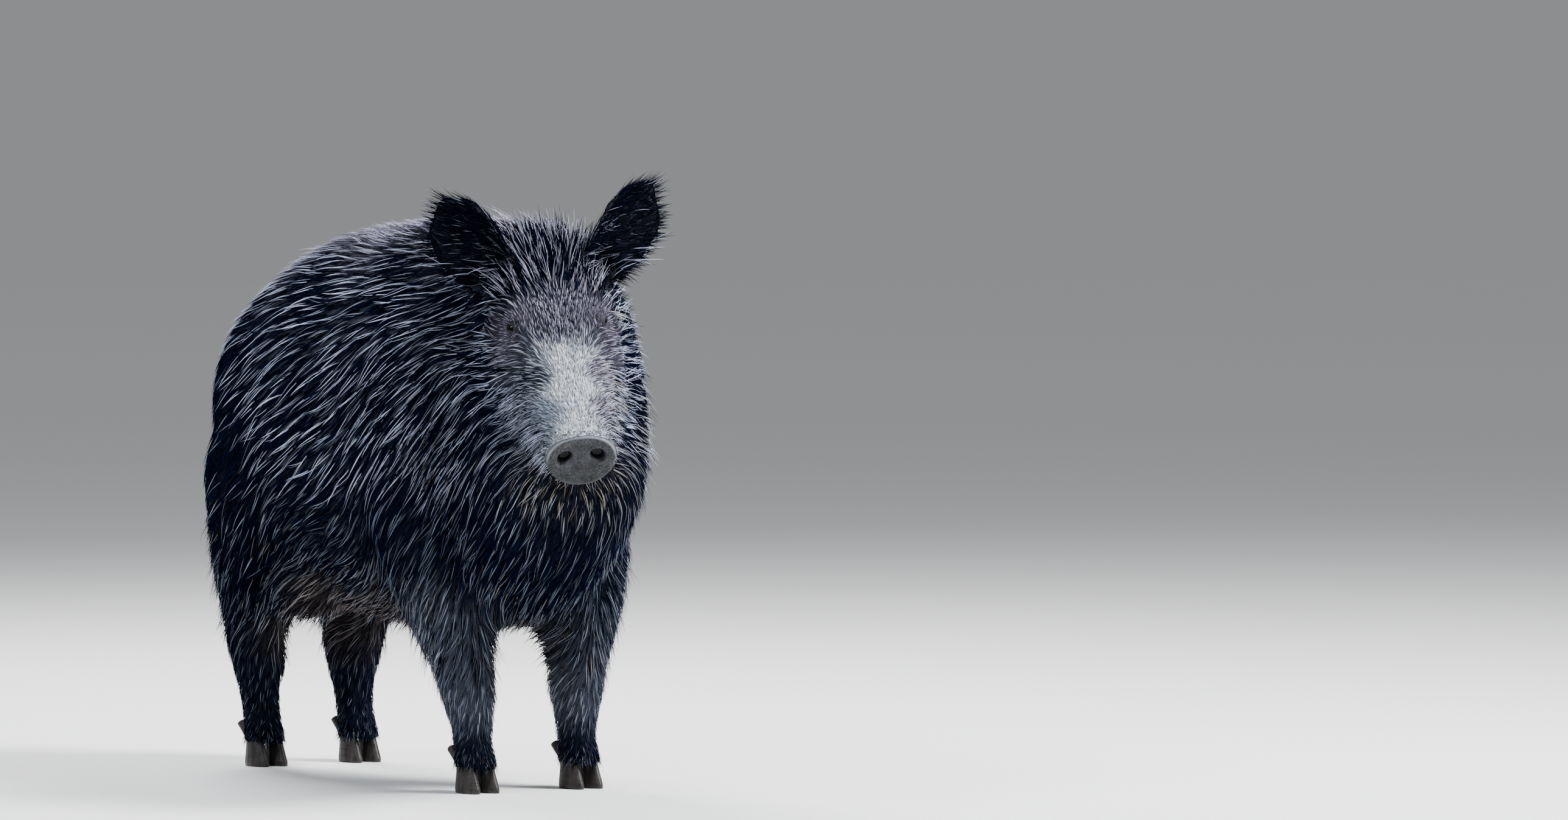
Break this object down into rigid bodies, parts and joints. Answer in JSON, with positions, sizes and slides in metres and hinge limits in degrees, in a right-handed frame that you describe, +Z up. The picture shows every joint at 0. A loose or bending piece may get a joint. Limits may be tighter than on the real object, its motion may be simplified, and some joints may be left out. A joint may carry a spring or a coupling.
{
  "type": "wild boar",
  "caption": "Standing life-size wild boar with a bristly dark coat, its head lowered and turned to its right, solid, resting on its cloven feet.",
  "frame": {"origin": "middle of the animal's bounding box, at the level of its soles", "axes": "+Z up; the boar faces -Y, so its right side is -X and its left side is +X"},
  "size_m": [0.4448, 1.3984, 0.9361],
  "materials": {
    "coat": "coarse overlapping bristles, blue-black to brown-black with silver-grey tips",
    "bare_snout": "bare damp skin, dark grey, finely pored",
    "eye": "wet, nearly black brown",
    "horn": "dull dark horn, worn at the edge"
  },
  "bodies": {
    "root": {"head": "coat", "lower_jaw": "coat", "neck": "coat", "trunk_shoulders": "coat", "trunk_barrel": "coat", "trunk_rump": "coat", "tail": "coat", "ear_left": "coat", "ear_right": "coat", "front_left_leg_upper": "coat", "front_left_leg_lower": "coat", "front_left_foot": "coat", "front_right_leg_upper": "coat", "front_right_leg_lower": "coat", "front_right_foot": "coat", "rear_left_leg_upper": "coat", "rear_left_leg_lower": "coat", "rear_left_foot": "coat", "rear_right_leg_upper": "coat", "rear_right_leg_lower": "coat", "rear_right_foot": "coat", "snout_disc": "bare_snout", "eye_left": "eye", "eye_right": "eye", "front_left_hoof_inner": "horn", "front_left_hoof_outer": "horn", "front_right_hoof_inner": "horn", "front_right_hoof_outer": "horn", "rear_left_hoof_inner": "horn", "rear_left_hoof_outer": "horn", "rear_right_hoof_inner": "horn", "rear_right_hoof_outer": "horn", "front_left_dewclaw_inner": "horn", "front_left_dewclaw_outer": "horn", "front_right_dewclaw_inner": "horn", "front_right_dewclaw_outer": "horn", "rear_left_dewclaw_inner": "horn", "rear_left_dewclaw_outer": "horn", "rear_right_dewclaw_inner": "horn", "rear_right_dewclaw_outer": "horn"}
  },
  "joints": []
}
